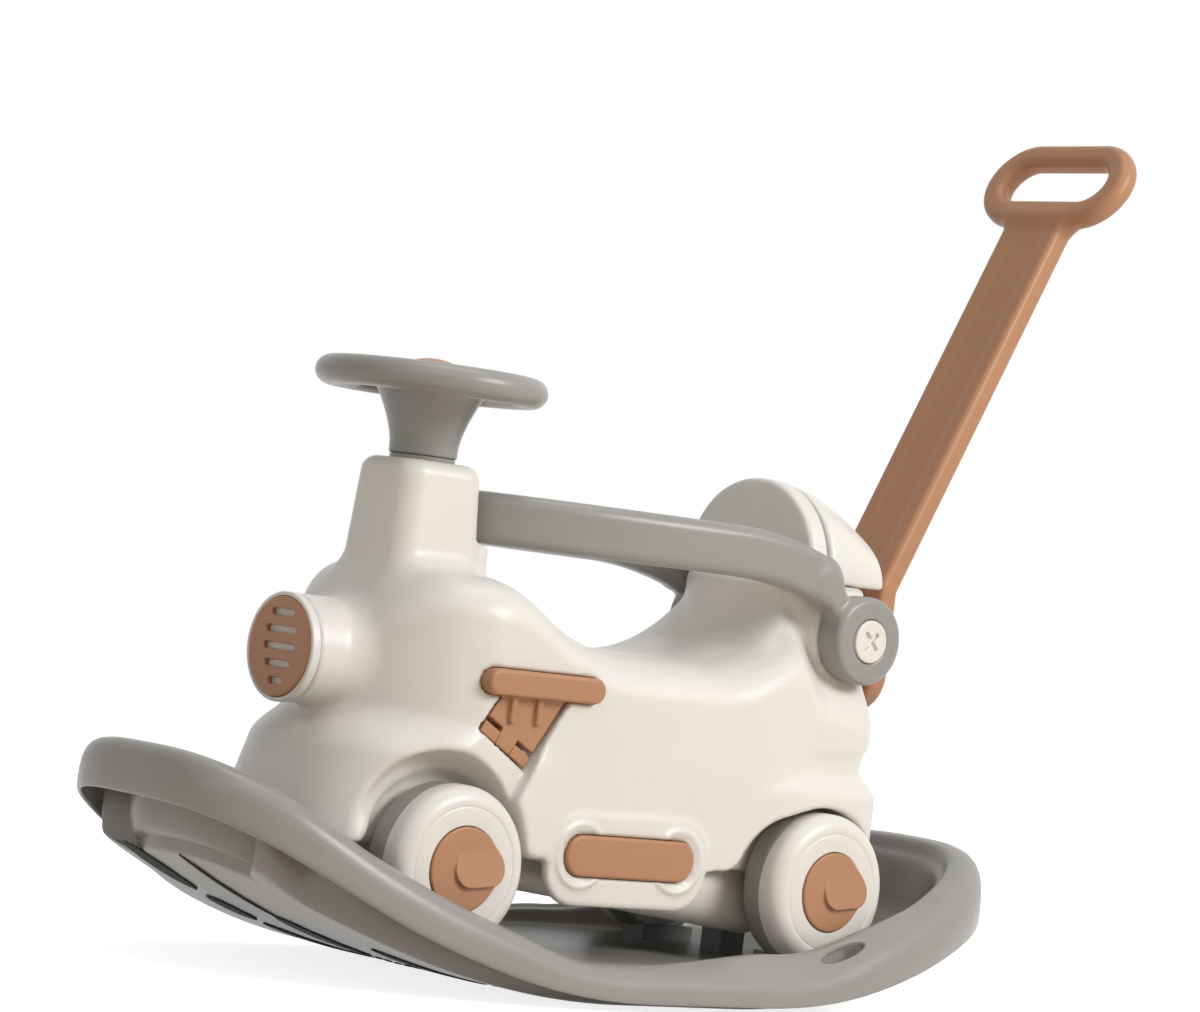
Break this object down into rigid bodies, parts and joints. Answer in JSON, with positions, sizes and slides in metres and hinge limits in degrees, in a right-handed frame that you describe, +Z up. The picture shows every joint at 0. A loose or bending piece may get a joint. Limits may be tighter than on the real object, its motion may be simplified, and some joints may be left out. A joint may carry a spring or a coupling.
{
  "type": "ride-on train",
  "caption": "Toddler's ride-on train standing in a removable rocking tray, with steering wheel, guard rail, backrest, folding footrests, push handle and turning wheels.",
  "frame": {"origin": "on the floor, under the middle of the tray's level keel", "axes": "+X forward to the headlamp, +Y to the train's left side, +Z up"},
  "size_m": [0.9386, 0.344, 0.7587],
  "materials": {
    "cream": "satin moulded, off-white",
    "grey": "satin moulded, warm grey",
    "brown": "satin moulded, camel brown",
    "steel": "plain drawn steel",
    "dark": "soft, matt"
  },
  "bodies": {
    "rocker": {"rocker_tray": "grey", "grip_strips": "dark", "wheel_chocks": "grey", "axle_cradles": "grey"},
    "train": {"body_shell": "cream", "underbody": "cream", "axle_brackets": "grey", "front_axle": "steel", "rear_axle": "steel", "axle_spacers": "steel", "axle_nuts": "steel", "chassis_screws": "steel", "headlamp_bezel": "cream", "headlamp_backing": "cream", "headlamp_grille": "brown", "steering_bushing": "grey", "backrest_pad": "cream", "backrest_shell": "cream", "backrest_bolts": "steel", "guard_sleeves": "grey", "guard_rail": "grey", "handle_socket": "cream", "trim_left": "brown", "trim_right": "brown", "footrest_hinge_left": "brown", "footrest_hinge_right": "brown", "footrest_pin_left": "steel", "footrest_pin_right": "steel"},
    "handle": {"push_handle": "brown"},
    "latch": {"handle_latch": "dark"},
    "footrest_left": {"footrest_left": "brown"},
    "footrest_right": {"footrest_right": "brown"},
    "steering": {"steering_wheel": "grey", "steering_stem": "grey", "steering_shaft": "steel", "shaft_clip": "steel", "horn_spring": "steel"},
    "horn": {"horn_button": "brown"},
    "lock_left": {"lock_left": "cream"},
    "lock_right": {"lock_right": "cream"},
    "wheel_fl": {"wheel_shell_fl": "cream", "wheel_tyre_fl": "grey", "hub_cap_fl": "brown"},
    "wheel_fr": {"wheel_shell_fr": "cream", "wheel_tyre_fr": "grey", "hub_cap_fr": "brown"},
    "wheel_rl": {"wheel_shell_rl": "cream", "wheel_tyre_rl": "grey", "hub_cap_rl": "brown"},
    "wheel_rr": {"wheel_shell_rr": "cream", "wheel_tyre_rr": "grey", "hub_cap_rr": "brown"}
  },
  "joints": [
    {"name": "train_lift", "type": "slide", "parent": "rocker", "child": "train", "axis": [0, 0, 1], "range_m": [0, 0.15]},
    {"name": "handle_pull", "type": "slide", "parent": "train", "child": "handle", "axis": [0, 0, 1], "range_m": [0, 0.1]},
    {"name": "latch_press", "type": "slide", "parent": "handle", "child": "latch", "axis": [1, 0, 0], "range_m": [0, 0.003], "stiffness_N_per_m": 300},
    {"name": "footrest_left_fold", "type": "hinge", "parent": "train", "child": "footrest_left", "pos_m": [0.15342, 0.099, 0.17871], "axis": [-0.8788, 0, -0.4772], "range_deg": [0, 90]},
    {"name": "footrest_right_fold", "type": "hinge", "parent": "train", "child": "footrest_right", "pos_m": [0.15342, -0.099, 0.17871], "axis": [0.8788, 0, 0.4772], "range_deg": [0, 90]},
    {"name": "steering_turn", "type": "hinge", "parent": "train", "child": "steering", "pos_m": [0.209, 0, 0.396], "axis": [0, 0, 1], "continuous": true},
    {"name": "horn_press", "type": "slide", "parent": "steering", "child": "horn", "axis": [0, 0, -1], "range_m": [0, 0.004], "stiffness_N_per_m": 400, "deforming": ["horn_spring"]},
    {"name": "lock_left_turn", "type": "hinge", "parent": "train", "child": "lock_left", "pos_m": [-0.193, 0.09, 0.3], "axis": [0, 1, 0], "range_deg": [0, 90]},
    {"name": "lock_right_turn", "type": "hinge", "parent": "train", "child": "lock_right", "pos_m": [-0.193, -0.09, 0.3], "axis": [0, 1, 0], "range_deg": [0, 90]},
    {"name": "wheel_fl_spin", "type": "hinge", "parent": "train", "child": "wheel_fl", "pos_m": [0.2165, 0.1, 0.096], "axis": [0, 1, 0], "continuous": true},
    {"name": "wheel_fr_spin", "type": "hinge", "parent": "train", "child": "wheel_fr", "pos_m": [0.2165, -0.1, 0.096], "axis": [0, 1, 0], "continuous": true},
    {"name": "wheel_rl_spin", "type": "hinge", "parent": "train", "child": "wheel_rl", "pos_m": [-0.1685, 0.1, 0.096], "axis": [0, 1, 0], "continuous": true},
    {"name": "wheel_rr_spin", "type": "hinge", "parent": "train", "child": "wheel_rr", "pos_m": [-0.1685, -0.1, 0.096], "axis": [0, 1, 0], "continuous": true}
  ]
}
